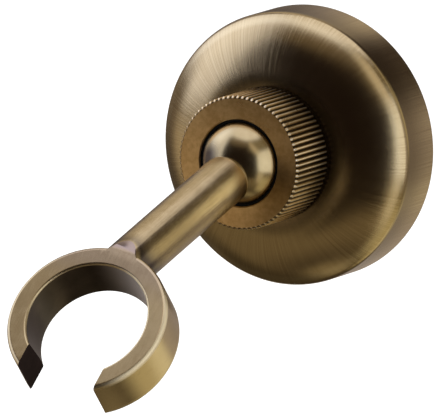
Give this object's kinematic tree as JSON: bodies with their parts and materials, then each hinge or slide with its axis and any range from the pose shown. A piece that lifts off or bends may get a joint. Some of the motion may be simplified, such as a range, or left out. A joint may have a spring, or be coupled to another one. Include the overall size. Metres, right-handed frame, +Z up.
{
  "type": "hand shower holder",
  "caption": "Wall-mounted hand shower holder: bell-shaped brass flange, ball joint locked by a knurled ring nut, and a rod with an open C clip for the cone of a hand shower.",
  "frame": {"origin": "centre of the flange's back, on the wall", "axes": "+Z up, the wall is the XZ plane and the holder stands out along -Y"},
  "size_m": [0.055, 0.0926, 0.0687],
  "materials": {
    "antique_brass": "dark antique patina, brushed back on the high parts",
    "polished_brass": "polished antique brass",
    "turned_brass": "plain turned brass",
    "plated_steel": "zinc plated",
    "black_steel": "black oxide",
    "nylon": "black nylon"
  },
  "bodies": {
    "wall_base": {"wall_flange": "antique_brass", "wall_bracket": "plated_steel", "grub_screw": "black_steel", "ball_socket": "turned_brass", "lock_washer": "plated_steel", "lock_nut": "turned_brass"},
    "seat": {"rear_seat": "nylon"},
    "ball": {"ball_stud": "polished_brass"},
    "arm": {"holder_arm": "antique_brass"},
    "ring": {"friction_ring": "nylon"},
    "nut": {"knurled_nut": "antique_brass"}
  },
  "joints": [
    {"name": "arm_swing", "type": "hinge", "parent": "wall_base", "child": "seat", "pos_m": [0, -0.02685, 0], "axis": [0, -1, 0], "continuous": true},
    {"name": "arm_tilt", "type": "hinge", "parent": "seat", "child": "ball", "pos_m": [0, -0.02685, 0], "axis": [0.9813, 0, -0.1925], "range_deg": [-48.8, 11.2]},
    {"name": "arm_roll", "type": "hinge", "parent": "ball", "child": "arm", "pos_m": [0, -0.02685, 0], "axis": [-0.062, -0.9466, -0.3162], "continuous": true},
    {"name": "nut_travel", "type": "slide", "parent": "wall_base", "child": "ring", "axis": [0, -1, 0], "range_m": [0, 0.00075]},
    {"name": "nut_turn", "type": "hinge", "parent": "ring", "child": "nut", "pos_m": [0, -0.02685, 0], "axis": [0, -1, 0], "range_deg": [0, 180]}
  ],
  "couplings": [
    {"joint": "nut_travel", "follows": "nut_turn", "m_per_rad": 0.00023873}
  ]
}
